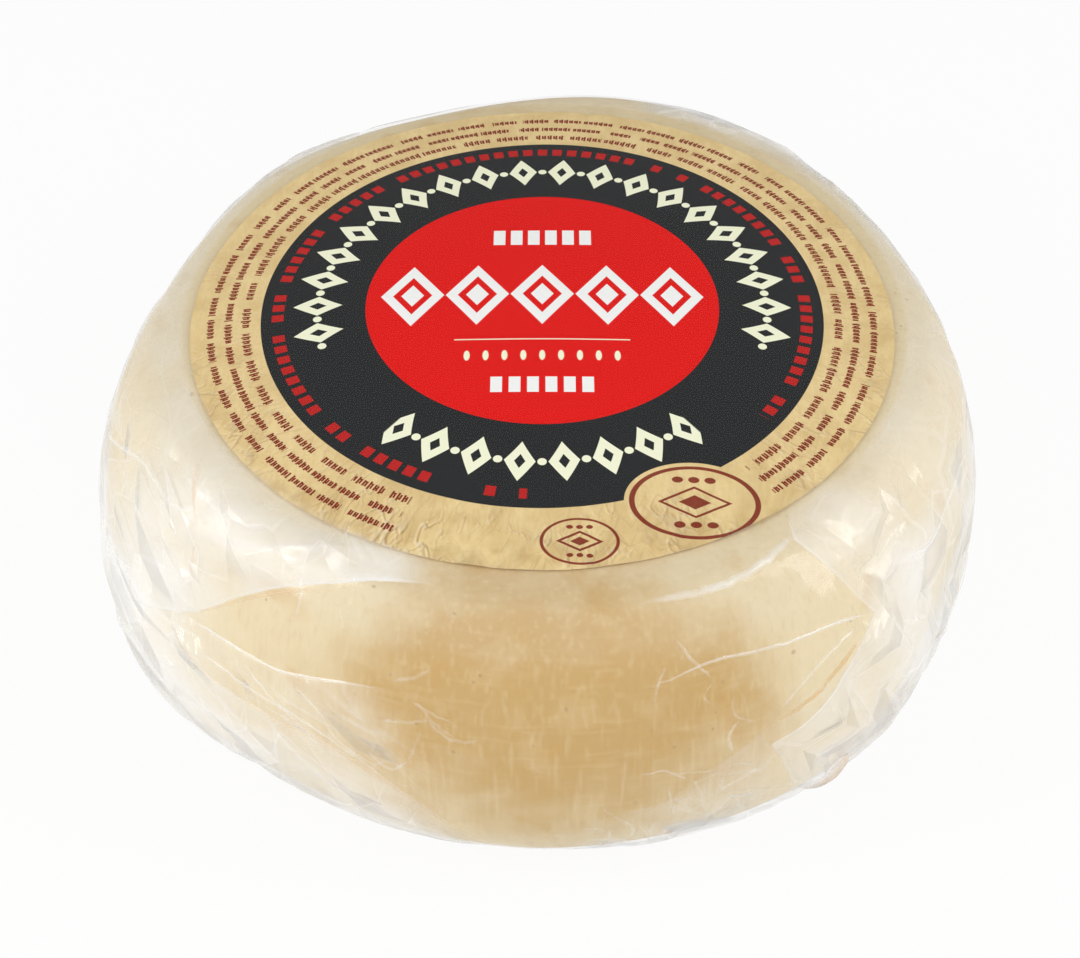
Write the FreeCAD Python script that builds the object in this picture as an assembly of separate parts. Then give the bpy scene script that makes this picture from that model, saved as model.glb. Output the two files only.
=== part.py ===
"""A small wheel of cured mixed milk cheese in clear film, with a round paper label under the film.

Millimetres. +Z is up and the flat underside lies at z = 0. -Y is the front, and +X the right hand side.
The origin is the middle of the footprint's bounding box.

Three pieces, each a solid in its own file:
  cheese  the wheel, with its slightly domed crown, round shoulder and belly that swells towards the foot
  label   the paper disc on the crown
  film    the wrap, tight over the crown and belly, loose at its four corners, where it is gathered in pleats
"""

import FreeCAD
import Part

import math
import os

Vector = FreeCAD.Vector

# ---- the wheel ----
WHEEL_RADIUS = 63.7  # widest ring, before the lobes of a hand-turned wheel
WHEEL_HEIGHT = 54.7  # underside to the middle of the crown
CROWN_RISE = 3.1  # how far the crown's middle stands above its rim
SHOULDER_WIDTH = 11.1  # the rounded shoulder, measured inwards from the widest ring
FOOT_WIDTH = 22.4  # the rounded foot, measured inwards from the widest ring
BELLY_HEIGHT = 21.0  # underside to the widest ring
CROWN_FLAT = 2.5  # radius of the level spot in the middle of the crown

# Lobes round the rim: how many, how far they swell, and where the first one points, in degrees from +X.
WHEEL_LOBES = ((2, 1.05, 79.0), (3, 0.9, -41.0), (4, 0.45, 8.5), (5, 0.8, 0.5), (6, 0.55, 18.5), (7, 0.55, -5.0))
LOBE_LEAN = -23.0  # how far the lobes turn from foot to crown, in degrees

# ---- the label ----
LABEL_RADIUS = 49.8
LABEL_THICKNESS = 0.25
LABEL_SEAT = 0.06  # glue line between rind and paper

# ---- the film ----
FILM_THICKNESS = 0.35
FILM_SLACK = 0.15  # between the film and what it wraps, where it is tight
FOOT_PUFF = 0.9  # how far the film stands off round the foot
FOOT_PUFF_HEIGHT = 9.0

# The wrap is a square sheet, so it has four corners: where each one points, which hand its pleats have, how far
# up the side they meet, as a share of it, and how far the loose film stands off there.
CORNERS = ((-139.0, 1, 0.70, 1.3), (-46.0, -1, 0.73, 2.5), (43.0, 1, 0.69, 2.0), (131.0, -1, 0.72, 1.6))
CORNER_LOOSE_TURN = 14.0  # how far round from the corner, towards the side, the film stands off most
CORNER_SPREAD = 22.0  # half width of the loose film, in degrees
CORNER_SAG = 17.0  # half height of the loose film
CORNER_LOOSE_DROP = 13.5  # from where the pleats meet down to where the film stands off most

# ---- the pleats of one corner ----
PLEAT_WIDTH = 2.2
PLEAT_RISE = 0.8
PLEAT_SINK = 0.9  # how deep a pleat is rooted below the film's face
PLEAT_STATIONS = 7
PLEAT_START = 0.10  # share of its run that a pleat leaves free beside the corner
PLEAT_BLUNT = 0.12  # share of its swell that a pleat already has where it starts
# Where each pleat runs to from the corner: turn in degrees, climb as a share of the side, and the same for how
# far it bows upwards at its middle.
PLEAT_FAN = (
    (26.0, 0.265, 0.03),
    (33.0, 0.085, -0.04),
    (38.0, -0.445, -0.03),
    (10.0, -0.52, 0.02),
    (-4.0, 0.26, -0.02),
    (-22.0, 0.12, 0.02),
    (-26.0, -0.33, 0.0),
)

# ---- how finely the skins are drawn ----
POLES_AROUND = 40
FOOT_STEPS = 5
SIDE_STEPS = 7
CROWN_STEPS = 4
DEGREE = 3
LEVEL = 0.01  # an edge that rises less than this is level


def lobes(angle, height):
    """How far the wheel swells at this angle and height."""
    lean = LOBE_LEAN * (height / WHEEL_HEIGHT - 0.5)
    return sum(swell * math.cos(math.radians(count * (angle - turn - lean))) for count, swell, turn in WHEEL_LOBES)


def underside(grow):
    """The level of a skin's flat underside, for a skin that lies this far outside the rind."""
    return FILM_SLACK + FILM_THICKNESS - grow


def crown_rim(grow):
    """The level where the shoulder meets the crown, which is the top of the side."""
    return underside(0) + WHEEL_HEIGHT - CROWN_RISE + grow


def meridian(grow):
    """(radius, height) from the rim of the flat underside to the crown's level spot, this far outside the rind."""
    radius = WHEEL_RADIUS + grow
    low = underside(grow)
    rim = crown_rim(grow)
    belly = underside(0) + BELLY_HEIGHT
    foot = FOOT_WIDTH + grow
    shoulder = SHOULDER_WIDTH + grow
    points = []
    for step in range(FOOT_STEPS):
        turn = math.pi / 2 * step / FOOT_STEPS
        points.append((radius - foot + foot * math.sin(turn), belly - (belly - low) * math.cos(turn)))
    for step in range(SIDE_STEPS):
        turn = math.pi / 2 * step / SIDE_STEPS
        points.append((radius - shoulder + shoulder * math.cos(turn), belly + (rim - belly) * math.sin(turn)))
    for step in range(CROWN_STEPS + 1):
        reach = (radius - shoulder) * (1 - step / CROWN_STEPS) + CROWN_FLAT * step / CROWN_STEPS
        points.append((reach, rim + CROWN_RISE * (1 - (reach / (radius - shoulder)) ** 2)))
    return points


def skin(grow, loose=None):
    """A closed solid that lies this far outside the rind, and further where loose(angle, height) says so."""
    section = meridian(grow)
    # A cubic skin runs inside its poles, by this much on a circle.
    draw_in = (2 + math.cos(2 * math.pi / POLES_AROUND)) / 3
    poles = []
    for place in range(POLES_AROUND):
        angle = 360.0 * place / POLES_AROUND
        turn = math.radians(angle)
        column = []
        for radius, height in section:
            swell = lobes(angle, height) + (loose(angle, height) if loose else 0)
            reach = (radius + swell * radius / (WHEEL_RADIUS + grow)) / draw_in
            column.append(Vector(reach * math.cos(turn), reach * math.sin(turn), height))
        poles.append(column)
    spans = len(section) - DEGREE
    surface = Part.BSplineSurface()
    surface.buildFromPolesMultsKnots(
        poles,
        [1] * (POLES_AROUND + 1),
        [DEGREE + 1] + [1] * (spans - 1) + [DEGREE + 1],
        list(range(POLES_AROUND + 1)),
        list(range(spans + 1)),
        True,
        False,
        DEGREE,
        DEGREE,
    )
    side = surface.toShape()
    rings = [edge for edge in side.Edges if edge.isClosed() and edge.BoundBox.ZLength < LEVEL]
    closed = Part.Compound([side] + [Part.Face(Part.Wire([ring])) for ring in rings])
    closed.sewShape()
    return Part.Solid(closed.Shells[0])


def over_label(grow):
    """The disc of a skin this far outside the rind that covers the label, with the skin's clearance all round it."""
    outer = skin(LABEL_SEAT + LABEL_THICKNESS + grow)
    return outer.common(Part.makeCylinder(LABEL_RADIUS + grow, 2 * WHEEL_HEIGHT, Vector(0, 0, WHEEL_HEIGHT / 2)))


def turned(angle, other):
    """The turn from other to angle, between -180 and 180 degrees."""
    return (angle - other + 180) % 360 - 180


def bump(value, width):
    """1 at nought, falling smoothly to nothing past the width."""
    return math.exp(-((value / width) ** 2))


def loose_film(angle, height):
    """How far the loose film stands off the tight one."""
    stand = FOOT_PUFF * bump(height - FOOT_PUFF_HEIGHT, FOOT_PUFF_HEIGHT)
    for corner, hand, meet, depth in CORNERS:
        beside = bump(turned(angle, corner - hand * CORNER_LOOSE_TURN), CORNER_SPREAD)
        stand += depth * beside * bump(height - meet * crown_rim(0) + CORNER_LOOSE_DROP, CORNER_SAG)
    return stand


def on_film(angle, height, grow):
    """The point and outward direction of the film's face at this angle and height."""

    def place(at_angle, at_height):
        section = meridian(grow)
        for (r0, z0), (r1, z1) in zip(section, section[1:]):
            if z0 <= at_height <= z1:
                radius = r0 + (r1 - r0) * (at_height - z0) / (z1 - z0)
                break
        swell = lobes(at_angle, at_height) + loose_film(at_angle, at_height)
        reach = radius + swell * radius / (WHEEL_RADIUS + grow)
        turn = math.radians(at_angle)
        return Vector(reach * math.cos(turn), reach * math.sin(turn), at_height)

    along = place(angle + 1, height) - place(angle - 1, height)
    upward = place(angle, height + 1) - place(angle, height - 1)
    return place(angle, height), along.cross(upward).normalize()


def pleat(corner, meet, turn, climb, bow, grow):
    """A ridge of folded film, rooted in the film's face, from beside a corner to where it dies away."""
    stations = []
    for step in range(PLEAT_STATIONS):
        run = PLEAT_START + (1 - PLEAT_START) * step / (PLEAT_STATIONS - 1)
        height = crown_rim(grow) * (meet + climb * run + bow * math.sin(math.pi * run))
        stations.append(on_film(corner + turn * run, height, grow))
    sections = []
    for step, (point, outward) in enumerate(stations):
        before = stations[max(step - 1, 0)][0]
        after = stations[min(step + 1, PLEAT_STATIONS - 1)][0]
        across = (after - before).cross(outward).normalize()
        swell = math.sin(math.pi * (PLEAT_BLUNT + (1 - PLEAT_BLUNT) * step / (PLEAT_STATIONS - 1)))
        # A little more than the rise at its middle, and just under the film's face at its ends.
        rise = PLEAT_RISE * (1.25 * swell - 0.25)
        root = point - outward * PLEAT_SINK
        half = across * (PLEAT_WIDTH / 2)
        sections.append(Part.makePolygon([root - half, root + half, point + outward * rise, root - half]))
    return Part.makeLoft(sections, True, False)


def make_cheese():
    return skin(0)


def make_label():
    upper = skin(LABEL_SEAT + LABEL_THICKNESS)
    punch = Part.makeCylinder(LABEL_RADIUS, 2 * WHEEL_HEIGHT, Vector(0, 0, WHEEL_HEIGHT / 2))
    return upper.common(punch).cut(skin(LABEL_SEAT))


def make_film():
    grow = FILM_SLACK + FILM_THICKNESS
    outer = skin(grow, loose_film).fuse(over_label(grow))
    pleats = []
    for corner, hand, meet, _depth in CORNERS:
        pleats += [pleat(corner, meet, hand * turn, climb, bow, grow) for turn, climb, bow in PLEAT_FAN]
    # What the film wraps, with its slack: the wheel, and the label that stands on its crown.
    inside = skin(FILM_SLACK).fuse(over_label(FILM_SLACK))
    return outer.fuse(pleats).cut(inside)


def main():
    pieces = {"cheese": make_cheese(), "label": make_label(), "film": make_film()}
    box = pieces["film"].optimalBoundingBox(False, False)
    to_origin = Vector(-(box.XMin + box.XMax) / 2, -(box.YMin + box.YMax) / 2, 0)
    os.makedirs("parts", exist_ok=True)
    for name, piece in pieces.items():
        solid = piece.Solids[0]
        solid.translate(to_origin)
        solid.exportStep("parts/" + name + ".step")
        size = solid.optimalBoundingBox(False, False)
        print(name, len(piece.Solids), "solid", solid.isValid(), round(solid.Volume / 1000, 2), "cm3", end=" ")
        print(len(solid.Faces), "faces, x", round(size.XMin, 2), round(size.XMax, 2), end=" ")
        print("y", round(size.YMin, 2), round(size.YMax, 2), "z", round(size.ZMin, 2), round(size.ZMax, 2))


main()
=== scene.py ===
# %% [markdown]
# # A small wrapped wheel of cheese
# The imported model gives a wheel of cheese, a paper disc on its crown and a clear wrap round both, at their
# real size. This script dresses them: a rind with a little relief, a creased and printed paper, and a film
# that is tight on the crown and the front, and folded and crumpled at the sides. The frame comes first,
# because every place below is measured on it.

# %% Load the frame
import math
import random

import bmesh
import bpy
import numpy as np
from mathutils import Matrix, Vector, noise
from mathutils.bvhtree import BVHTree


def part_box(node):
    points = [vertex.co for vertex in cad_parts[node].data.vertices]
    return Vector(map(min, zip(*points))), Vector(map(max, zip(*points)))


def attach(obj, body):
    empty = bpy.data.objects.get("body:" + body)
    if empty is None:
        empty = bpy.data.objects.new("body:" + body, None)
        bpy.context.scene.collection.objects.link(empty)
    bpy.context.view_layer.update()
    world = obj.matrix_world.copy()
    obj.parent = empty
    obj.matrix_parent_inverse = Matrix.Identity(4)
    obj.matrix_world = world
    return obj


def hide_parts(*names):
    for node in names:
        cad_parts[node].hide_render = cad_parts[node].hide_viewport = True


MM = 0.001
WELD = 0.001 * MM  # points closer than this are made one
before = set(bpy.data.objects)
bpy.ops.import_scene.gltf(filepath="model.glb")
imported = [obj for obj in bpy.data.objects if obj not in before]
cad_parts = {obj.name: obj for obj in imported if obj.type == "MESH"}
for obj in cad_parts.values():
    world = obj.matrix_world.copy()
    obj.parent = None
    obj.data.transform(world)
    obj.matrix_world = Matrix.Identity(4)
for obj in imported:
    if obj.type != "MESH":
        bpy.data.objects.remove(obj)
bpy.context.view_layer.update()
label_low, label_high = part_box("label")
film_low, film_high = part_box("film")
MIDDLE = (film_low + film_high) / 2
LABEL_RADIUS = (label_high.x - label_low.x) / 2
LABEL_MIDDLE = (label_high + label_low) / 2
print("wrapped wheel, mm:", [round(side / MM, 1) for side in film_high - film_low])
print("paper disc, mm across:", round(2 * LABEL_RADIUS / MM, 1))

# %% [markdown]
# ## The camera
# The wheel is seen from the front and from a little over forty degrees up, so that the printed crown and
# the front of the film show equally well. A camera can be placed by typing in a position, but an angle, a
# distance and a point to look at are easier to read and to change.

# %% Camera
CAMERA_TILT = math.radians(43.4)
CAMERA_DISTANCE = 329.5 * MM
CAMERA_AIM = Vector((0, -1.6 * MM, 27.9 * MM))
CAMERA_LENS = 73.3
CAMERA_SHIFT = (-0.0044, -0.0323)

camera = bpy.data.objects.new("camera", bpy.data.cameras.new("camera"))
bpy.context.scene.collection.objects.link(camera)
towards_camera = Vector((0, -math.cos(CAMERA_TILT), math.sin(CAMERA_TILT)))
camera.location = CAMERA_AIM + CAMERA_DISTANCE * towards_camera
camera.rotation_euler = (CAMERA_AIM - camera.location).to_track_quat("-Z", "Y").to_euler()
camera.data.lens = CAMERA_LENS
camera.data.shift_x, camera.data.shift_y = CAMERA_SHIFT
camera.data.clip_start = 10 * MM
bpy.context.scene.camera = camera
print("camera at, mm:", [round(value / MM) for value in camera.location])

# %% [markdown]
# ## Shader algebra
# A finish is a small sum: so much haze, less near an edge, more where the film is loose. Wiring Math nodes
# one by one hides that sum. The class below wraps an output, so that a plus sign adds the node, and one
# method puts in every other kind of node with its settings and its inputs.


# %% Amounts and finishes
class Amount:
    """A number or colour that changes over a surface. Sums and products of numbers add Math nodes."""

    def __init__(self, finish, socket):
        self.finish = finish
        self.socket = socket

    def __add__(self, other):
        return self.finish.math("ADD", self, other)

    def __sub__(self, other):
        return self.finish.math("SUBTRACT", self, other)

    def __rsub__(self, other):
        return self.finish.math("SUBTRACT", other, self)

    def __mul__(self, other):
        return self.finish.math("MULTIPLY", self, other)

    def __truediv__(self, other):
        return self.finish.math("DIVIDE", self, other)

    def __pow__(self, other):
        return self.finish.math("POWER", self, other)

    def __lt__(self, other):
        return self.finish.math("LESS_THAN", self, other)

    __radd__ = __add__
    __rmul__ = __mul__

    def rise(self, low, high):
        """0 at low, 1 at high and a smooth step between them; low may be the larger."""
        settings = {"interpolation_type": "SMOOTHSTEP"}
        ends = {"From Min": low, "From Max": high} if low < high else {"From Min": high, "From Max": low}
        step = self.finish.node("MapRange", settings, {"Value": self, **ends})
        return step if low < high else 1 - step


class Finish:
    """The nodes of a material, or of a world, that is being mixed."""

    def __init__(self, owner):
        self.owner = owner
        owner.use_nodes = True
        self.tree = owner.node_tree
        self.tree.nodes.clear()

    def node(self, kind, settings=None, sockets=None, out=0):
        """Puts in a node: its settings first, then its inputs by name or number. Gives back one output."""
        made = self.tree.nodes.new("ShaderNode" + kind)
        for key, value in (settings or {}).items():
            setattr(made, key, value)
        for key, value in (sockets or {}).items():
            if isinstance(value, Amount):
                self.tree.links.new(value.socket, made.inputs[key])
            else:
                made.inputs[key].default_value = value
        return Amount(self, made.outputs[out])

    def math(self, operation, *values):
        return self.node("Math", {"operation": operation}, dict(enumerate(values)))

    def least(self, first, second):
        return self.math("MINIMUM", first, second)

    def most(self, first, second):
        return self.math("MAXIMUM", first, second)

    def place(self, shift=(0, 0, 0), stretch=(1, 1, 1)):
        """Object coordinates, moved and stretched by a Mapping node."""
        coordinates = self.node("TexCoord", out="Object")
        return self.node("Mapping", sockets={"Vector": coordinates, "Location": shift, "Scale": stretch})

    def cloud(self, size, where=None, detail=2.0, roughness=0.5):
        """Soft noise from 0 to 1 whose lumps are about this large, in metres."""
        sockets = {"Scale": 1 / size, "Detail": detail, "Roughness": roughness}
        sockets["Vector"] = where or self.place()
        return self.node("TexNoise", sockets=sockets, out="Fac")

    def blend(self, share, first, second):
        """A colour on the way from first to second."""
        return self.node("Mix", {"data_type": "RGBA"}, {0: share, 6: first, 7: second}, out=2)

    def carried(self, name):
        """A number that the mesh carries at its points."""
        return self.node("Attribute", {"attribute_name": name}, out="Fac")

    def vectors(self, operation, sockets, out=0):
        return self.node("VectorMath", {"operation": operation}, sockets, out)

    def bump(self, height, distance):
        """A normal that leans with a height, which counts as this many metres."""
        return self.node("Bump", sockets={"Height": height, "Distance": distance, "Strength": 1.0})

    def folded_space(self, size, seed, folds=3):
        """Three zigzag waves, from 0 to 1, in a space that slanted zigzag waves have pushed to and fro."""
        chance = random.Random(seed)

        def heading():
            return Vector([chance.gauss(0, 1) for _axis in range(3)]).normalized()

        def wave(where, low, high):
            slant = heading() / (size * chance.uniform(low, high))
            run = self.vectors("DOT_PRODUCT", {0: where, 1: slant}, "Value")
            return self.math("ABSOLUTE", self.math("FRACT", run + chance.random()) - 0.5) * 2

        where = self.place()
        for _fold in range(folds):
            way = heading() * size * 0.8
            push = self.vectors("SCALE", {0: way, "Scale": wave(where, 1.2, 2.6) - 0.5})
            where = self.vectors("ADD", {0: where, 1: push})
        return [wave(where, 1.4, 2.4) for _way in range(3)]

    def crumpled(self, size, seed):
        """Heights from 0 to 1 of a sheet crumpled into facets this large, in metres, and 1 on its creases."""
        ways = self.folded_space(size, seed)
        creases = [self.most(way.rise(0.94, 0.99), way.rise(0.06, 0.01)) for way in ways]
        return (ways[0] + ways[1] + ways[2]) / 3, self.most(self.most(creases[0], creases[1]), creases[2])

    def done(self, shader, output="OutputMaterial"):
        """Lets the shader out of the tree and gives back the material or world."""
        surface = self.tree.nodes.new("ShaderNode" + output).inputs["Surface"]
        self.tree.links.new(shader.socket, surface)
        return self.owner


def new_finish(name, kind=Finish):
    return kind(bpy.data.materials.new(name))


# %% [markdown]
# ## Stage and light
# A pale product stands on a pale floor under soft light. The world and the floor show as white to the
# camera and in reflections, through Light Path, while what they shed on the wheel stays at a plain level.
# Two upright soft boxes at the sides draw the long glints on the film, and a wide one overhead lights the
# crown.

# %% Floor and world
FLOOR_SIZE = 6.0
FLOOR_PAINT = (0.86, 0.86, 0.86, 1)
FLOOR_GLOW = 0.92  # how much of the floor that is seen is plain white light
PLAIN_WHITE = (1, 1, 1, 1)
SEEN_WHITE = 1.0
SKY_LIGHT = 0.48
SEEN_BY = ("Is Camera Ray", "Is Glossy Ray", "Is Transmission Ray")


def seen(finish):
    """1 for rays that show the background: from the camera, in a mirror and through glass."""
    rays = [finish.node("LightPath", out=name) for name in SEEN_BY]
    return finish.most(finish.most(rays[0], rays[1]), rays[2])


floor_mesh = bmesh.new()
bmesh.ops.create_grid(floor_mesh, x_segments=1, y_segments=1, size=FLOOR_SIZE / 2)
floor_data = bpy.data.meshes.new("floor")
floor_mesh.to_mesh(floor_data)
floor_mesh.free()
floor = bpy.data.objects.new("floor", floor_data)
bpy.context.scene.collection.objects.link(floor)
floor_finish = new_finish("pale floor")
floor_matt = floor_finish.node("BsdfDiffuse", sockets={"Color": FLOOR_PAINT})
floor_glow = floor_finish.node("Emission", sockets={"Color": PLAIN_WHITE, "Strength": SEEN_WHITE})
floor_shares = {0: seen(floor_finish) * FLOOR_GLOW, 1: floor_matt, 2: floor_glow}
floor_data.materials.append(floor_finish.done(floor_finish.node("MixShader", sockets=floor_shares)))

sky = Finish(bpy.data.worlds.new("studio"))
shed = sky.node("Background", sockets={"Color": PLAIN_WHITE, "Strength": SKY_LIGHT})
shown = sky.node("Background", sockets={"Color": PLAIN_WHITE, "Strength": SEEN_WHITE})
sky_shares = {0: seen(sky), 1: shed, 2: shown}
bpy.context.scene.world = sky.done(sky.node("MixShader", sockets=sky_shares), "OutputWorld")

# %% Lamps
# name, place in mm, size in mm, watts, and whether film and paper mirror it
LAMPS = (
    ("left_box", (-420, -190, 270), (120, 420), 1.15, True),
    ("right_box", (430, -120, 240), (120, 420), 0.93, True),
    ("fill_box", (40, -620, 420), (420, 300), 1.2, False),
)
for lamp_name, lamp_place, lamp_size, watts, mirrored in LAMPS:
    lamp = bpy.data.objects.new(lamp_name, bpy.data.lights.new(lamp_name, "AREA"))
    bpy.context.scene.collection.objects.link(lamp)
    lamp.data.shape = "RECTANGLE"
    lamp.data.size, lamp.data.size_y = (side * MM for side in lamp_size)
    lamp.data.energy = watts
    lamp.visible_glossy = mirrored
    lamp.location = Vector(lamp_place) * MM
    lamp.rotation_euler = (MIDDLE - lamp.location).to_track_quat("-Z", "Y").to_euler()
bpy.context.scene.view_settings.view_transform = "Standard"
print(len(LAMPS), "lamps")

# %% [markdown]
# ## A skin round the wheel
# Rind and film are the same shape at two distances, and both want small, even faces to carry fine relief. A
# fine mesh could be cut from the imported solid, but its triangles are long and uneven. Instead a can is spun
# round the wheel, with more rows where more happens, and every point is drawn in to the nearest place on
# the solid.


# %% The can and how it shrinks
def finder_on(shape):
    """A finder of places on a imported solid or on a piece."""
    solid = bmesh.new()
    solid.from_mesh(shape.data)
    finder = BVHTree.FromBMesh(solid)
    solid.free()
    return finder


def spun(outline, around):
    """An outline spun about the middle: (radius, height, cuts up to the next corner) for each corner."""
    mesh = bmesh.new()
    corners = [mesh.verts.new((radius, 0, height)) for radius, height, _cuts in outline]
    runs = [mesh.edges.new(pair) for pair in zip(corners, corners[1:])]
    for run, (_radius, _height, cuts) in zip(runs, outline):
        bmesh.ops.subdivide_edges(mesh, edges=[run], cuts=cuts)
    swept = mesh.verts[:] + mesh.edges[:]
    turn = {"cent": (0, 0, 0), "axis": (0, 0, 1), "angle": math.tau, "steps": around, "use_merge": True}
    bmesh.ops.spin(mesh, geom=swept, **turn)
    bmesh.ops.remove_doubles(mesh, verts=mesh.verts, dist=WELD)
    return mesh


RIND = finder_on(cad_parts["cheese"])
CAN_GAP = 2 * MM
SMOOTHING = {"factor": 0.5, "use_axis_x": True, "use_axis_y": True, "use_axis_z": True}
SMOOTHING_PASSES = 6


def skin_round_wheel(outline, around):
    """A closed skin on the rind, from a can spun round it."""
    mesh = spun(outline, around)
    for vert in mesh.verts:
        vert.co = RIND.find_nearest(vert.co)[0]
    for _pass in range(SMOOTHING_PASSES):
        bmesh.ops.smooth_vert(mesh, verts=mesh.verts, **SMOOTHING)
    bmesh.ops.recalc_face_normals(mesh, faces=mesh.faces)
    return mesh


def piece_from(mesh, name):
    """Makes the mesh a smooth piece that rides on the wheel."""
    data = bpy.data.meshes.new(name)
    mesh.to_mesh(data)
    mesh.free()
    data.shade_smooth()
    piece = bpy.data.objects.new(name, data)
    bpy.context.scene.collection.objects.link(piece)
    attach(piece, "root")
    print(name, len(data.polygons), "faces")
    return piece


# %% Places and outward directions as arrays
def places_of(piece):
    """Every point of the piece, in mm, and its outward direction."""
    count = len(piece.data.vertices)
    places, outward = np.empty(3 * count), np.empty(3 * count)
    piece.data.vertices.foreach_get("co", places)
    piece.data.vertices.foreach_get("normal", outward)
    return places.reshape(-1, 3) / MM, outward.reshape(-1, 3)


def move_points(piece, places):
    """Puts the points at these places, in mm."""
    piece.data.vertices.foreach_set("co", (places * MM).ravel())
    piece.data.update()


def carry(piece, name, values):
    """Lets the piece carry a number at each point, for its finish to read."""
    carried = piece.data.attributes.new(name, "FLOAT", "POINT")
    carried.data.foreach_set("value", np.asarray(values, dtype=np.float32))


def lumps(places, size, seed):
    """Soft noise from about -1 to 1 with lumps this large, in mm."""
    shift = Vector((seed * 17.3, seed * 5.1, seed * 9.7))
    return np.array([noise.noise(Vector(place) / size + shift) for place in places])


def bearing(places):
    """Degrees round the wheel from its right hand side: the front is at -90."""
    return np.degrees(np.arctan2(places[:, 1], places[:, 0]))


def turned(angle, other):
    """The turn from other to angle, between -180 and 180 degrees."""
    return (angle - other + 180) % 360 - 180


def hill(value, width):
    """1 at nought, falling softly to nothing past the width."""
    return np.exp(-((value / width) ** 2))


# %% [markdown]
# ## The rind
# The rind of a wheel that is turned in cloth is smooth and a little uneven: shallow dents, faint upright
# marks of the cloth, and pores. It is pale where the film stands off it and darker, as if wet, where the
# film clings. Shallow dents are real relief in the mesh, threads are bump, and the colour is mixed from
# patches.

# %% Rind shape
TOP = film_high.z + CAN_GAP
FOOT = film_low.z - CAN_GAP
REACH = max(film_high.x, film_high.y) + CAN_GAP
RIND_ROWS = (
    (0, FOOT, 14),
    (40 * MM, FOOT, 20),
    (REACH, FOOT, 50),
    (REACH, TOP, 14),
    (50 * MM, TOP, 14),
    (0, TOP, 0),
)
RIND_AROUND = 320
SPARE = 0.06
FOOT_SWELL = 0.9
FOOT_HEIGHT = 9.0
# where the film clings and the rind looks wet, or stands off it and the rind looks dry:
# how much, bearing and half width in degrees, height and half height in mm
CLINGS = (
    (1.20, -91, 19, 41, 13),
    (0.30, -90, 26, 24, 16),
    (0.30, -68, 11, 33, 16),
    (-0.35, -53, 9, 33, 13),
    (0.80, 86, 30, 28, 18),
)

rind = piece_from(skin_round_wheel(RIND_ROWS, RIND_AROUND), "rind")
rind_places, rind_outward = places_of(rind)
rind_height = rind_places[:, 2]
swell = SPARE + FOOT_SWELL * hill(rind_height - FOOT_HEIGHT, FOOT_HEIGHT)
dents = 0.14 * lumps(rind_places, 16, 1) + 0.06 * lumps(rind_places, 6, 2)
# The dents are shallower at the foot and under the paper.
dents *= (1 - 0.6 * hill(rind_height - 4, 8)) * (1 - 0.75 * hill(rind_height - 56, 5))
move_points(rind, rind_places + rind_outward * (swell + dents)[:, None])

rind_bearing = bearing(rind_places)
cling = np.zeros(len(rind_places))
for amount, middle, wide, height, high in CLINGS:
    cling += amount * hill(turned(rind_bearing, middle), wide) * hill(rind_height - height, high)
carry(rind, "cling", cling.clip(-1, 1))


# %% [markdown]
# ## The rind's colour
# Cured rind goes from straw to amber, with faint threads of the cloth, smears of wax and small pores. One
# could paint patches by hand, but noise at three sizes gives the same mottling from every side. Noise that
# is stretched upright or level makes the threads, and noise that bends the coordinates keeps the patches
# from looking round.

# %% Rind finish
STRAW = (0.73, 0.61, 0.385, 1)
AMBER = (0.55, 0.35, 0.12, 1)
WAX = (0.76, 0.62, 0.38, 1)
PALE_THREAD = (0.80, 0.67, 0.43, 1)
DARK_THREAD = (0.48, 0.29, 0.10, 1)
STAIN = (0.58, 0.33, 0.09, 1)
PORE = (0.36, 0.22, 0.10, 1)


def rind_finish():
    mix = new_finish("cheese rind")
    upright = mix.place(stretch=(1, 1, 0.08))
    level = mix.place(stretch=(0.12, 0.12, 1))
    warp_threads = mix.cloud(0.75 * MM, upright, 2)
    weft_threads = mix.cloud(0.75 * MM, level, 1)
    streaks = mix.cloud(4 * MM, upright, 1)
    bending = {"Vector": mix.place(), "Scale": 1 / (12 * MM), "Detail": 1.0}
    warp = mix.node("TexNoise", sockets=bending, out="Color")
    bent = mix.vectors("MULTIPLY_ADD", {0: warp, 1: (9 * MM,) * 3, 2: mix.place()})
    patches = mix.cloud(13 * MM, bent, 3, 0.55)
    smears = mix.cloud(6 * MM, bent, 2, 0.5)
    wet = mix.carried("cling") * 1.15 + (patches - 0.5) * 0.9 + (streaks - 0.5) * 0.30 + 0.08
    colour = mix.blend(wet.rise(0.0, 0.95), STRAW, AMBER)
    colour = mix.blend(smears.rise(0.50, 0.66) * 0.16, colour, WAX)
    colour = mix.blend(warp_threads.rise(0.5, 0.75) * 0.20, colour, PALE_THREAD)
    colour = mix.blend(warp_threads.rise(0.48, 0.25) * 0.14, colour, DARK_THREAD)
    colour = mix.blend(weft_threads.rise(0.52, 0.75) * 0.09, colour, PALE_THREAD)
    stains = mix.cloud(7 * MM, mix.place(shift=(0.03, 0.01, 0.02)), 1).rise(0.62, 0.8)
    colour = mix.blend(stains * 0.40, colour, STAIN)
    cells = {"Vector": bent, "Scale": 1 / (4.2 * MM)}
    pores = mix.node("TexVoronoi", {"feature": "F1"}, cells, "Distance")
    colour = mix.blend(pores.rise(0.075, 0.05) * 0.45, colour, PORE)
    relief = warp_threads * 0.5 + weft_threads * 0.25 + mix.cloud(0.8 * MM, None, 1) * 0.4
    normal = mix.bump(relief, 0.12 * MM)
    sockets = {"Base Color": colour, "Roughness": 0.55, "Normal": normal, "Specular IOR Level": 0.2}
    return mix.done(mix.node("BsdfPrincipled", sockets=sockets))


rind.data.materials.append(rind_finish())
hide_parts("cheese")

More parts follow.
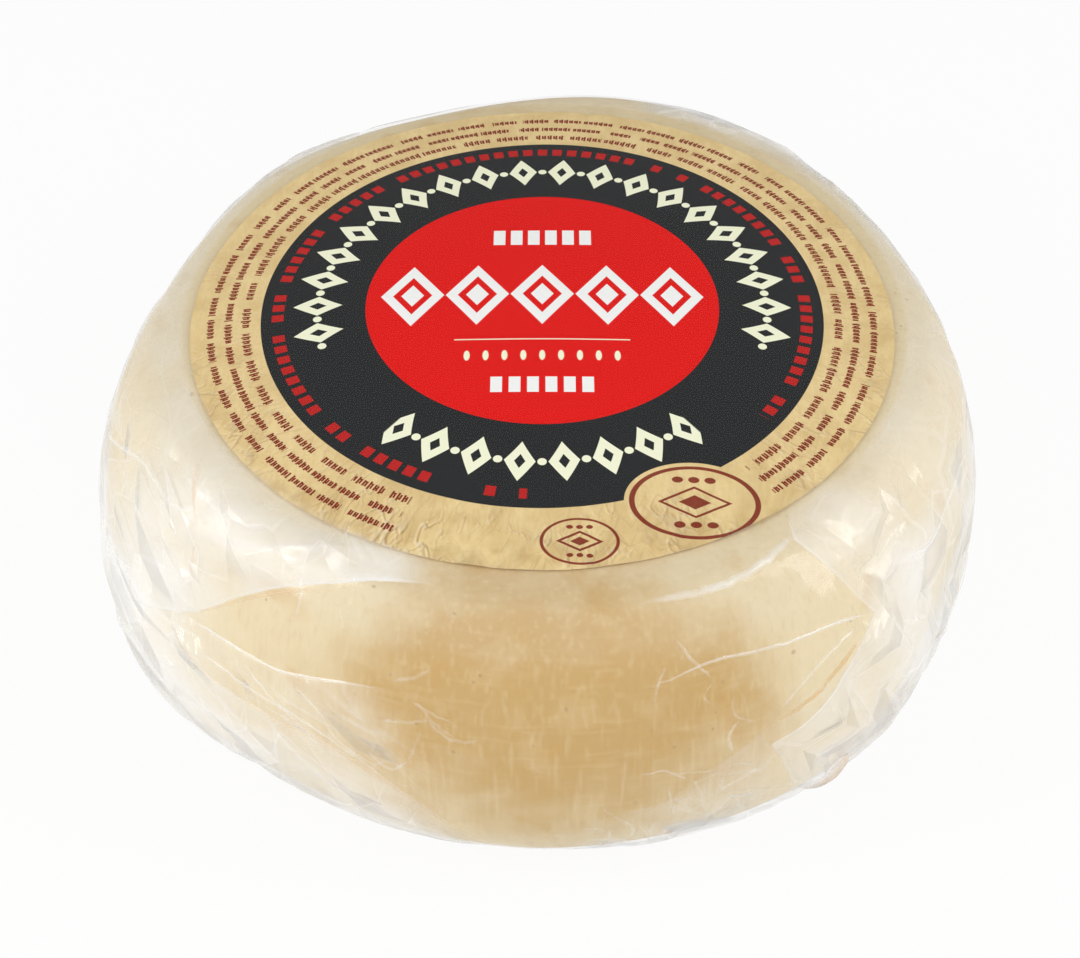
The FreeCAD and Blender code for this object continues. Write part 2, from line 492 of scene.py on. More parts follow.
# %% [markdown]
# ## The paper disc
# A disc of thin brown paper lies under the film, printed with a red disc in a charcoal one and with rows of
# small marks. The paper cockles where it goes over the edge of the crown. The disc is a spun set of rings
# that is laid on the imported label, cockled and creased in its mesh. The print is drawn by the finish from
# the distance and the bearing of each place, so its edges stay sharp.


# %% Disc shape
# two runs of rings, close together where the paper goes over the edge of the crown
DISC_ROWS = ((0, 0, 30), (LABEL_RADIUS - 12 * MM, 0, 22), (LABEL_RADIUS, 0, 0))
DISC_AROUND = 480


def paper_disc():
    """A flat disc of rings over the middle of the label, face up."""
    mesh = spun(DISC_ROWS, DISC_AROUND)
    bmesh.ops.translate(mesh, verts=mesh.verts, vec=(LABEL_MIDDLE.x, LABEL_MIDDLE.y, 0))
    bmesh.ops.recalc_face_normals(mesh, faces=mesh.faces)
    if sum(face.normal.z for face in mesh.faces) < 0:
        bmesh.ops.reverse_faces(mesh, faces=mesh.faces)
    return mesh


PAPER = finder_on(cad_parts["label"])
paper = piece_from(paper_disc(), "paper_disc")


def on_paper(place):
    """The level of the label's face under a place."""
    hit = PAPER.ray_cast(Vector((place[0], place[1], 2 * TOP)), Vector((0, 0, -1)))[0]
    if hit is None:
        hit = PAPER.find_nearest(Vector((place[0], place[1], label_high.z)))[0]
    return hit.z


# %% [markdown]
# ## Creases in thin sheets
# Crumpled film and paper are flat between sharp creases. Soft noise looks like water, so the crumple is
# made by folding: space is pushed to and fro by a few slanted zigzag waves, and the height is a zigzag of
# what results. Every crease then stays sharp, and kinks where it crosses an older one.


# %% Crumple
def zigzag(value):
    """A wave of straight slopes between 0 and 1."""
    return 2 * np.abs(value - np.floor(value) - 0.5)


def crumple(places, size, seed, folds=5):
    """Heights from 0 to 1 of a sheet that is crumpled into facets about this large, in mm."""
    chance = random.Random(seed)

    def direction():
        return np.array(Vector([chance.gauss(0, 1) for _axis in range(3)]).normalized())

    folded = places.copy()
    for _fold in range(folds):
        wave = zigzag(folded @ direction() / (size * chance.uniform(1.2, 2.6)) + chance.random())
        folded += np.outer(wave - 0.5, direction()) * size * 0.8
    ways = []
    for _way in range(3):
        ways.append(zigzag(folded @ direction() / (size * chance.uniform(1.4, 2.4)) + chance.random()))
    return sum(ways) / 3


# %% Paper relief
FRONT_SPREAD = 72
BORDER_START = 38
BORDER_WIDTH = 9
paper_places, _up = places_of(paper)
paper_places[:, 2] = [on_paper(place * MM) / MM for place in paper_places]
from_middle = paper_places[:, :2] - np.array(LABEL_MIDDLE.xy) / MM
paper_radius = np.hypot(from_middle[:, 0], from_middle[:, 1])
at_front = hill(turned(bearing(from_middle), -90), FRONT_SPREAD)
border = np.clip((paper_radius - BORDER_START) / BORDER_WIDTH, 0, 1)
cockle = (crumple(paper_places, 7, 5) - 0.5) * (0.07 + 0.30 * at_front) * border
cockle += (crumple(paper_places, 3, 6) - 0.5) * (0.03 + 0.13 * at_front) * border
paper_places[:, 2] += cockle + 0.02
move_points(paper, paper_places)
carry(paper, "front", at_front * border)


# %% [markdown]
# ## The print
# Ink on paper could be painted on an image, but then it blurs close up. Here every shape is a sum on the
# distance from the middle of the disc and the bearing round it: rings and rows of marks. The pattern is a
# plain folk one: cream lozenges in a charcoal ring, small red bars, and a red disc with a row of white
# lozenges. The fine print of the border is only hinted at, by rows of short upright ticks in groups.


# %% Print plan
class Plan(Finish):
    """A finish drawn on the plan of the disc, in mm from its middle."""

    def __init__(self, owner):
        super().__init__(owner)
        spot = self.place(shift=(-LABEL_MIDDLE.x, -LABEL_MIDDLE.y, 0))
        self.across = self.node("SeparateXYZ", sockets={0: spot}, out="X") / MM
        self.along = self.node("SeparateXYZ", sockets={0: spot}, out="Y") / MM
        self.radius = self.math("SQRT", self.across * self.across + self.along * self.along)
        self.angle = self.math("ARCTAN2", self.along, self.across)

    def size(self, value):
        """A number without its sign."""
        return self.math("ABSOLUTE", value)

    def inside(self, distance, soft=0.04):
        """1 where a distance is below nought, with a soft edge this wide, in mm."""
        return distance.rise(soft, -soft)

    def sector(self, middle, half):
        """1 between two bearings: half of the sector on each side of its middle, in degrees."""
        away = self.math("WRAP", self.angle - math.radians(middle), math.pi, -math.pi)
        return self.size(away).rise(math.radians(half) + 0.004, math.radians(half) - 0.004)

    def repeats(self, count, ring, phase=0.0):
        """Distances from the nearest of count marks on a ring: along the ring and across it."""
        turn = self.math("FRACT", self.angle * (count / math.tau) + (0.5 + phase)) - 0.5
        return self.size(turn) * (math.tau * ring / count), self.size(self.radius - ring)

    def chance(self, value):
        """A number from 0 to 1 that is drawn anew for each value."""
        return self.node("TexWhiteNoise", {"noise_dimensions": "1D"}, {"W": value}, "Value")

    def row(self, value, gap, count):
        """Distances along a row of marks from the nearest one, and 1 where the row has marks."""
        shift = 0 if count % 2 else gap / 2
        away = self.math("WRAP", value + shift, gap / 2, -gap / 2)
        return self.size(away), self.size(value) < count * gap / 2

    def block(self, x, y, half_wide, half_high):
        """1 in a block, for distances x and y from its middle."""
        return self.inside(self.most(x - half_wide, self.size(y) - half_high))

    def lozenge(self, x, y, half_wide, half_high):
        """Nought on the edge of a lozenge, for distances x and y from its middle."""
        return (x * (1 / half_wide) + self.size(y) * (1 / half_high) - 1) * min(half_wide, half_high)

    def oval(self, x, y, half_wide, half_high):
        """Nought on the edge of an oval, for distances x and y from its middle."""
        wide, high = x * (1 / half_wide), y * (1 / half_high)
        return (self.math("SQRT", wide * wide + high * high) - 1) * min(half_wide, half_high)


# %% Paper colour
DARK_FIBRE = (0.71, 0.51, 0.225, 1)
PALE_FIBRE = (0.93, 0.745, 0.40, 1)
BLOTCH = (0.66, 0.46, 0.20, 1)
CREASE_SHADE = (0.36, 0.22, 0.08, 1)
CREASE_HIGHLIGHT = (0.95, 0.80, 0.53, 1)
FACET_SHADE = (0.52, 0.345, 0.14, 1)
FOLD_SHADE = (0.42, 0.26, 0.10, 1)


def kraft(plan, slope, fold):
    """Brown paper: its fibres, its blotches, and the painted shade and highlights of its crumpled front."""
    fibres = plan.cloud(0.7 * MM, plan.place(stretch=(1, 0.3, 1)), 3, 0.7)
    blotches = plan.cloud(5 * MM, None, 2)
    colour = plan.blend(fibres, DARK_FIBRE, PALE_FIBRE)
    colour = plan.blend(blotches.rise(0.38, 0.66) * 0.45, colour, BLOTCH)
    # Creases run in from the rim at the front, where the paper goes over the shoulder. Each one is a
    # line of painted shade with a painted highlight beside it, as a ridge shows under a lamp.
    front = plan.carried("front")
    for size, seed, light, depth in ((3.4, 0.3, 0.60, 0.70), (1.7, 4.7, 0.35, 0.40)):
        shown = plan.cloud(7 * MM, plan.place(shift=(size * MM, 0.02, 0)), 1).rise(0.38, 0.62)
        for shift, tone, share in ((0.0, CREASE_SHADE, depth), (0.35, CREASE_HIGHLIGHT, light)):
            ways = {"X": plan.angle * 45 + shift, "Y": plan.radius * 0.42, "Z": seed}
            sockets = {"Vector": plan.node("CombineXYZ", sockets=ways), "Scale": 1 / size, "Detail": 2.0}
            wander = plan.node("TexNoise", sockets=sockets, out="Fac")
            line = plan.size(wander - 0.5).rise(0.030, 0.006)
            colour = plan.blend(line * shown * (front * 0.95 + 0.05) * share, colour, tone)
    # Painted shade: facets where the crumple is high are darkened, and its creases get a dark painted line.
    colour = plan.blend(slope.rise(0.35, 0.75) * front * 0.40, colour, FACET_SHADE)
    return plan.blend(fold * front * blotches.rise(0.42, 0.6) * 0.30, colour, FOLD_SHADE)


# %% Print colours
CREAM = (0.93, 0.94, 0.70, 1)
WHITE = (0.94, 0.94, 0.92, 1)
INK_RED = (0.20, 0.004, 0.004, 1)
CHARCOAL = (0.023, 0.024, 0.025, 1)
DISC_RED = (0.77, 0.012, 0.010, 1)
BAR_RED = (0.50, 0.022, 0.020, 1)
# radii in mm of the charcoal disc, the red disc, the ring of lozenges and the ring of bars
CHARCOAL_RADIUS = 39.8
RED_RADIUS = 25.0
LOZENGE_RING = 31.8
BAR_RING = 37.4
LOZENGES = 34
BARS = 104


def printed(plan, paper_colour):
    """The paper's colour with everything that is printed on it."""
    colour = plan.blend(plan.inside(plan.radius - CHARCOAL_RADIUS), paper_colour, CHARCOAL)
    colour = plan.blend(plan.inside(plan.radius - RED_RADIUS), colour, DISC_RED)

    # Cream lozenges with dots between them: a long row over the top, a short one below.
    rows = plan.most(plan.sector(90, 107), plan.sector(-90, 39))
    along_ring, across_ring = plan.repeats(LOZENGES, LOZENGE_RING)
    lozenge = (along_ring / 2.1 + across_ring / 3.5 - 1) * 2.1
    hollow = (along_ring / 0.75 + across_ring / 1.25 - 1) * 0.75
    colour = plan.blend(plan.inside(lozenge) * plan.inside(0 - hollow) * rows, colour, CREAM)
    along_ring, across_ring = plan.repeats(LOZENGES, LOZENGE_RING, 0.5)
    dot = plan.math("SQRT", along_ring * along_ring + across_ring * across_ring) - 0.62
    colour = plan.blend(plan.inside(dot) * rows, colour, CREAM)

    # Short red bars between the lozenges and the edge of the charcoal, broken into groups.
    along_ring, across_ring = plan.repeats(BARS, BAR_RING)
    bar = plan.most(along_ring - 0.72, across_ring - 0.85)
    grouped = plan.chance(plan.math("FLOOR", plan.angle * (BARS / math.tau) + 0.5)) < 0.8
    colour = plan.blend(plan.inside(bar) * grouped * plan.sector(115, 152), colour, BAR_RED)

    # The middle: a row of white lozenges with smaller ones in them, and small blocks over and under it.
    apart, here = plan.row(plan.across, 9.2, 5)
    up = plan.along - 1.4
    outer, hollow, inner = (plan.lozenge(apart, up, 4.5 * part, 6.6 * part) for part in (1, 0.62, 0.36))
    ring = plan.inside(outer) * plan.inside(0 - hollow)
    colour = plan.blend(plan.most(ring, plan.inside(inner)) * here, colour, WHITE)
    apart, here = plan.row(plan.across, 2.5, 6)
    upper = plan.block(apart, plan.along - 14.6, 0.85, 1.75)
    lower = plan.block(apart, plan.along + 17.4, 0.8, 1.5)
    colour = plan.blend(plan.most(upper, lower) * here, colour, WHITE)
    apart, here = plan.row(plan.across, 2.6, 9)
    grains = plan.inside(plan.oval(apart, plan.along + 11.6, 0.42, 1.0)) * here
    line = plan.block(plan.size(plan.across), plan.along + 8.3, 12.2, 0.10)
    return plan.blend(plan.most(grains, line), colour, CREAM)


# %% Border of fine print
# radius in mm, height of the ticks in mm, how many groups go round, where they start
FINE_ROWS = ((41.9, 1.5, 46, 0.1), (44.4, 1.3, 58, 0.4), (46.9, 1.3, 58, 0.7))
TICKS_A_GROUP = 6.5
# place on the disc and half sizes, in mm
STAMPS = ((19.8, -38.4, 8.2, 5.9), (4.8, -45.2, 4.9, 3.6))


def hint_of_words(plan, colour, ring, high, words, seed):
    """A row of ticks as high as small type, in groups of uneven length."""
    letters = words * TICKS_A_GROUP
    spot = plan.angle * (letters / math.tau)
    letter, part = plan.math("FLOOR", spot), plan.math("FRACT", spot)
    word = plan.angle * (words / math.tau) + seed
    filled = plan.math("FRACT", word) < plan.chance(plan.math("FLOOR", word) + seed) * 0.30 + 0.66
    from_ring = plan.radius - ring
    tall = plan.chance(letter + seed * 7) * 0.35 + 0.62
    step = math.tau * ring / letters
    stem = plan.most(plan.size(part - 0.28) * step - 0.15, plan.size(from_ring) - tall * high / 2)
    tail = plan.most(plan.size(part - 0.70) * step - 0.14, plan.size(from_ring) - high * 0.30)
    shelf = plan.chance(letter + seed * 13) * high * 0.5 - high * 0.25
    bar = plan.most(plan.size(part - 0.47) * step - 0.28, plan.size(from_ring - shelf) - 0.13)
    ticks = plan.least(plan.least(stem, tail), bar)
    return plan.blend(plan.inside(ticks, 0.06) * filled * plan.sector(98, 148) * 0.96, colour, INK_RED)


def stamp(plan, colour, paper_colour, x, y, half_wide, half_high):
    """An oval mark on bare paper: a ring, a lozenge and two rows of dots."""
    wide, high = plan.size(plan.across - x), plan.size(plan.along - y)
    bare = plan.inside(plan.oval(wide, high, half_wide + 1.0, half_high + 0.9))
    colour = plan.blend(bare, colour, paper_colour)
    ring = plan.size(plan.oval(wide, high, half_wide, half_high)) - 0.045 * half_high
    border_line = plan.size(plan.lozenge(wide, high, half_wide * 0.55, half_high * 0.42)) - 0.2
    heart = plan.lozenge(wide, high, half_wide * 0.26, half_high * 0.2)
    marks = plan.inside(plan.least(plan.least(ring, border_line), heart))
    apart, here = plan.row(wide, half_wide * 0.26, 3)
    dots = plan.inside(plan.oval(apart, high - half_high * 0.64, 0.09 * half_wide, 0.09 * half_high)) * here
    return plan.blend(plan.most(marks, dots) * 0.92, colour, INK_RED)


def paper_finish():
    plan = new_finish("printed paper", Plan)
    slope, fold = plan.crumpled(3.2 * MM, 3)
    paper_colour = kraft(plan, slope, fold)
    colour = printed(plan, paper_colour)
    for row in FINE_ROWS:
        colour = hint_of_words(plan, colour, *row)
    for mark in STAMPS:
        colour = stamp(plan, colour, paper_colour, *mark)
    relief = plan.cloud(0.5 * MM, None, 2) * 0.05 + slope * plan.carried("front") * 0.7
    normal = plan.bump(relief, MM)
    sockets = {"Base Color": colour, "Roughness": 0.6, "Normal": normal, "Specular IOR Level": 0.06}
    return plan.done(plan.node("BsdfPrincipled", sockets=sockets))


paper.data.materials.append(paper_finish())
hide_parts("label")

# %% [markdown]
# ## The film
# Thin film is wrapped over the crown like a parcel. It is pulled tight over the front and the back. At each
# end the spare film is gathered at two corners, folded over in plies and tucked under the foot. One closed
# skin stands for the tight film. It stands off the rind where the wrap is loose, and is crumpled most
# there.

# %% How loose the film is
# where the folds meet: bearing in degrees, hand of the fold, height in mm, stand-off in mm
CORNERS = ((-138, 1, 37.0, 1.3), (-46.5, -1, 38.5, 2.5), (43, 1, 36.5, 2.0), (131, -1, 38.0, 1.6))
LOOSE_TURN = 14
LOOSE_SPREAD = 22
LOOSE_DROP = 13.5
LOOSE_SAG = 17
TIGHT_GAP = 0.36
LABEL_GAP = 0.40  # more than the tight gap, for the paper between
UNDER_GAP = 0.18
LOWEST_FILM = 0.22
FOOT_PUFF = 0.9


def looseness(places):
    """How far the loose film stands off, in mm."""
    height, round_wheel = places[:, 2], bearing(places)
    stand = FOOT_PUFF * hill(height - FOOT_HEIGHT, FOOT_HEIGHT)
    for corner, hand, meet, depth in CORNERS:
        beside = hill(turned(round_wheel, corner - hand * LOOSE_TURN), LOOSE_SPREAD)
        stand += depth * beside * hill(height - meet + LOOSE_DROP, LOOSE_SAG)
    return stand


def step_up(value, low, high):
    """0 at low, 1 at high, smooth between. low may be the larger."""
    share = np.clip((value - low) / (high - low), 0, 1)
    return share * share * (3 - 2 * share)


def at_ends(places):
    """1 on the two loose ends of the wrap, left and right, and 0 on its tight front and back."""
    from_side = 90 - np.abs(np.abs(bearing(places)) - 90)
    return step_up(from_side, 50, 38)


# %% Film shape
FILM_ROWS = (
    (0, FOOT, 12),
    (42 * MM, FOOT, 26),
    (REACH, FOOT, 80),
    (REACH, TOP, 22),
    (50 * MM, TOP, 12),
    (0, TOP, 0),
)
FILM_AROUND = 480
film = piece_from(skin_round_wheel(FILM_ROWS, FILM_AROUND), "film_wrap")
film_places, film_outward = places_of(film)
film_height, round_film = film_places[:, 2], bearing(film_places)
from_axis = np.hypot(film_places[:, 0], film_places[:, 1])
on_crown = step_up(film_height, 44, 48)
over_label = step_up(from_axis, LABEL_RADIUS / MM + 2.2, LABEL_RADIUS / MM + 0.2) * on_crown
loose = looseness(film_places)
slack = np.clip(loose / 1.8, 0, 1) * (1 - over_label)
slack = np.maximum(slack, at_ends(film_places) * (1 - over_label) * 0.8)
slack *= 1 - 0.75 * step_up(film_height, 46, 51)
slack = np.maximum(slack, 0.5 * hill(turned(round_film, -66), 14) * hill(film_height - 17, 11))
slack = np.maximum(slack, 0.4 * hill(turned(round_film, -112), 14) * hill(film_height - 26, 14))
stand = TIGHT_GAP + LABEL_GAP * over_label + loose
stand += (1.4 * slack) * (crumple(film_places, 13, 11) - 0.5)
stand += (0.06 + 0.42 * slack) * (crumple(film_places, 6, 12) - 0.5) * (1 - over_label)
stand += (0.08 * slack) * (crumple(film_places, 3.2, 13) - 0.5) * (1 - over_label)
stand = np.where(film_outward[:, 2] < -0.9, UNDER_GAP, stand)
film_places = film_places + film_outward * stand[:, None]
film_places[:, 2] = film_places[:, 2].clip(LOWEST_FILM, None)
move_points(film, film_places)

# How milky the film is: most on its loose ends, and a little over the crown and at the foot. On the ends the
# milk changes from facet to facet, partly the film's own milkiness and partly painted reflection.
facet_milk_and_sheen = crumple(film_places, 13, 11) - 0.5
clear_shoulder = 1 - 0.55 * step_up(film_places[:, 2], 38, 46)
haze = 0.03 + (0.52 + 0.45 * facet_milk_and_sheen) * at_ends(film_places) * clear_shoulder
haze += 0.05 * on_crown * (1 - at_ends(film_places)) + 0.04 * step_up(film_places[:, 2], 12, 3)
carry(film, "haze", haze * (1 - over_label))
carry(film, "slack", slack)
carry(film, "cover", 1 - 0.8 * over_label)
carry(film, "tan", np.zeros(len(haze)))


# %% [markdown]
# ## Plies and creases
# The folded film lies in plies, and what the eye sees is their edges: a milky sheet ends in a sharp line,
# with a bright hem along it. Relief alone can't make that line on a skin whose points are most of a
# millimetre apart. So each ply is a sheet of its own between two lines, its edge and a far side where it
# fades into the film. Each line is a few points, given as a turn from the corner and a rise seen from the
# middle of the wheel, in degrees. They're joined by a smooth curve and dropped onto the film. A crease is a
# narrow ribbon along one such line.

# %% Lines on the film
HEART = Vector((0, 0, 25 * MM))

FILM = finder_on(film)


def curve_through(points, shares):
    """A smooth line through the points, at these shares of its run."""
    points = np.array(points, dtype=float)
    padded = np.vstack([2 * points[0] - points[1], points, 2 * points[-1] - points[-2]])
    along = np.clip(np.asarray(shares, dtype=float) * (len(points) - 1), 0, len(points) - 1 - 1e-6)
    start = along.astype(int)
    part = (along - start)[:, None]
    before, here, there, after = (padded[start + step] for step in range(4))
    bend = (2 * before - 5 * here + 4 * there - after) * part**2
    twist = (3 * here - before - 3 * there + after) * part**3
    return here + 0.5 * ((there - before) * part + (bend + twist))


def on_film(turns, rises):
    """Places on the film, in mm, and outward directions, at these bearings and rises in degrees."""
    places, outward = [], []
    for turn, rise in zip(np.radians(turns), np.radians(rises)):
        ray = Vector((math.cos(rise) * math.cos(turn), math.cos(rise) * math.sin(turn), math.sin(rise)))
        place, normal, _face, _distance = FILM.ray_cast(HEART, ray)
        places.append(place / MM)
        outward.append(normal if normal.dot(ray) > 0 else -normal)
    return np.array(places), np.array(outward)


# %% Plies and creases at one corner
CARRIED = ("haze", "slack", "cover", "tan")
PLY_CUTS = (120, 60)
HEM_GAP = 0.04
CREASE_GAP = 0.10
LOWEST_PLY = 0.02


class Corner:
    """One corner of the wrap: its bearing, the hand of its folds, and the mesh that they are laid in."""

    def __init__(self, middle, hand):
        self.middle = middle
        self.hand = hand
        self.mesh = bmesh.new()

    def on_film(self, chart):
        """Places on the film and outward directions, at these turns from the corner and rises."""
        return on_film(self.middle + self.hand * chart[:, 0], chart[:, 1])

    def sheet(self, along, across):
        """A grid of points, with their shares of the way along and across."""
        for name in CARRIED:
            if not self.mesh.verts.layers.float.get(name):
                self.mesh.verts.layers.float.new(name)
        verts = bmesh.ops.create_grid(self.mesh, x_segments=along, y_segments=across, size=0.5)["verts"]
        shares = np.array([vert.co[:2] for vert in verts]) + 0.5
        return verts, shares[:, 0], shares[:, 1]

    def lay(self, verts, places, **carried):
        """Puts the points at these places, in mm, and gives them what they carry."""
        for vert, place in zip(verts, places):
            vert.co = Vector(place) * MM
        for name, values in carried.items():
            layer = self.mesh.verts.layers.float[name]
            for vert, value in zip(verts, np.broadcast_to(values, len(verts))):
                vert[layer] = float(value)

    def ply(self, edge, far, haze, tan=0.0, tone=0.0, seed=1, sharp=1.0):
        """A sheet of film from its edge, milky there if it is sharp, to a far side where it fades away."""
        verts, along, across = self.sheet(*PLY_CUTS)
        across = across**1.5
        near_line, far_line = curve_through(edge, along), curve_through(far, along)
        near_line[:, 1] += 0.35 * (crumple(np.outer(along, (60, 0, 0)), 7, seed) - 0.5)
        hem_place, _out = self.on_film(near_line)
        place, outward = self.on_film(near_line + (far_line - near_line) * across[:, None])
        from_hem = np.linalg.norm(place - hem_place, axis=1)
        cover = step_up(across, 1.0, 0.55) * step_up(along, 0.0, 0.12) * step_up(along, 1.0, 0.86)
        rolled = hill(from_hem - 0.35, 0.25) * 0.05
        inner = np.clip(from_hem / 5, 0, 1)
        stand = 0.03 + 0.12 * np.clip(from_hem / 0.8, 0, 1) + rolled
        wide, fine = crumple(place, 11, seed), crumple(place, 5, seed + 1)
        stand += inner * (0.80 * (wide - 0.35) + 0.30 * (fine - 0.5))
        stand += inner * 0.08 * (crumple(place, 2.8, seed + 2) - 0.5)
        place = place + outward * (HEM_GAP + stand.clip(0, None) * cover)[:, None]
        place[:, 2] = place[:, 2].clip(LOWEST_PLY, None)
        # The milk changes from facet to facet, partly painted reflection, and is brighter along the hem.
        milk = haze * (0.85 + 0.9 * (crumple(place, 11, seed) - 0.5) + 0.3 * hill(from_hem - 0.25, 0.2))
        milk *= sharp + (1 - sharp) * np.clip(from_hem / 9, 0, 1)
        # Painted shade and light: tan along the hem stands for the shade in the fold and the cheese seen
        # through it, and tone warms the milk of the whole ply in place of light coming through from the
        # cheese.
        painted_amber = tone + tan * hill(from_hem, 0.4)
        self.lay(verts, place, haze=milk, slack=0.8 * inner, cover=cover, tan=painted_amber)

    def crease(self, line, width, haze=0.45, tan=0.0, height=0.18, cuts=(90, 6)):
        """A narrow ridge of film along a line."""
        verts, along, across = self.sheet(*cuts)
        # Each crease is crumpled in its own way, by how many points the mesh has by now.
        seed = len(self.mesh.verts)
        chart = curve_through(line, along)
        chart[:, 1] += 0.5 * (crumple(np.outer(along, (40, 0, 0)), 6, seed) - 0.5)
        ahead = curve_through(line, np.clip(along + 0.02, 0, 1))
        ahead = ahead - curve_through(line, np.clip(along - 0.02, 0, 1))
        place, outward = self.on_film(chart)
        next_place, _out = self.on_film(chart + ahead)
        side = np.cross(next_place - place, outward)
        side /= np.linalg.norm(side, axis=1)[:, None]
        off = 2 * across - 1
        ends = step_up(along, 0, 0.15) * step_up(along, 1, 0.7)
        place = place + side * (off * width / 2 * (0.4 + 0.6 * ends))[:, None]
        place = place + outward * (CREASE_GAP + height * (1 - np.abs(off)) * ends)[:, None]
        milk = haze * (0.55 + 0.9 * crumple(np.outer(along, (50, 0, 0)), 8, seed + 1))
        self.lay(verts, place, haze=milk, slack=0.3, cover=(1 - np.abs(off) ** 2) * ends, tan=tan)

    def crinkles(self, middle, spread, count, seed):
        """Short creases strewn round a place, each bent once."""
        chance = random.Random(seed)
        for _crinkle in range(count):
            start = np.array([chance.gauss(mid, wide / 2) for mid, wide in zip(middle, spread)])
            heading = chance.choice((-60, -35, 25, 50, 80)) + chance.gauss(0, 15)
            run = chance.uniform(1.4, 4.0)
            points = [start]
            for bend in (0, chance.gauss(0, 30)):
                step = math.radians(heading + bend)
                points.append(points[-1] + run * np.array([math.cos(step), math.sin(step)]))
            width = chance.uniform(0.35, 0.8)
            self.crease(points, width, haze=chance.uniform(0.08, 0.20), cuts=(20, 4))


# %% The two ways a corner is folded
def under_flap(corner, seed):
    """One side of the last flap, folded under the foot and drawn to a point like a parcel's."""
    corner.ply(
        seed=seed, haze=0.45, tan=0.3,
        edge=((7, -22), (8, -33), (9, -46), (12, -60), (18, -76)),
        far=((-40, -22), (-40, -33), (-40, -46), (-42, -60), (-50, -76)),
    )
    corner.crease(((-12, -30), (-13, -42), (-16, -55), (-22, -68)), 0.9)
    corner.crease(((28, -32), (27, -42), (24, -52), (18, -62)), 0.8)


def wide_corner(corner, seed):
    """Folds of a corner whose spare film is drawn up to the crown."""
    corner.ply(
        seed=seed, haze=0.50,
        edge=((-12, 4), (0, 9.5), (7, 16), (14, 21), (24, 25), (34, 26.5)),
        far=((-27, 22), (-12, 29.5), (-2, 30), (8, 30), (20, 29.5), (32, 29)),
    )
    corner.ply(
        seed=seed + 2, haze=0.62, tan=0.6, sharp=0.55,
        edge=((-6, 7), (3, 3), (14, 2), (21, 2), (27, 0), (34, -4), (41, -12)),
        far=((-16, -20), (-6, -23), (4, -24), (14, -25), (24, -25), (33, -25), (42, -22)),
    )
    corner.ply(
        seed=seed + 4, haze=0.13,
        edge=((-3, 8.5), (0, 9), (7, 9.5), (15, 10), (23, 12.5), (31, 14)),
        far=((-3, 1), (1, -1), (8, -1), (17, -2), (26, -3), (36, -4)),
    )
    corner.crease(((1, 5.5), (10, 4.5), (19, 4), (26, 1.5), (33, -3)), 0.7, haze=0.4)
    corner.crease(((12, 3), (20, 2.4), (27, 0.4), (34, -3.8), (41, -11)), 0.8, haze=0.5, tan=0.5)
    corner.crease(((9, 8), (14, 5), (18, 3), (24, -2)), 0.7, haze=0.32)
    corner.crease(((17, 9), (21, 6.5), (24, 3), (31, 0)), 0.7, haze=0.32)
    corner.crease(((4, 1), (11, -4), (17, -9), (25, -13)), 0.9, haze=0.4)
    corner.crease(((13, 1), (20, -5), (28, -9)), 0.8, haze=0.4)
    corner.crease(((-4, 12), (-14, 8), (-24, 7), (-33, 9)), 1.0, haze=0.4)
    corner.crease(((-7, 20), (-16, 21), (-26, 17), (-36, 18)), 0.9, haze=0.4)
    corner.crease(((-6, 4), (-15, -4), (-26, -8), (-34, -16)), 1.1, haze=0.4)
    corner.crease(((-9, 27), (-5, 23.5), (-2, 20), (-1, 16), (0, 10)), 1.5, haze=0.55, tan=0.55)
    corner.crease(((-2, 20), (6, 22.5), (13, 25.5), (20, 27)), 1.1, haze=0.5, tan=0.25)
    corner.crease(((0, 9), (7, 9.5), (15, 10), (23, 12.5), (31, 14)), 0.6)
    corner.crease(((0, 9.5), (7, 15.5), (14, 20.5), (24, 24.5)), 0.7, haze=0.4, tan=0.8)
    corner.crinkles((32, 12), (4, 3), 4, seed)
    corner.crinkles((24, 5), (12, 6), 6, seed + 1)
    corner.crinkles((12, 24), (14, 4), 6, seed + 2)


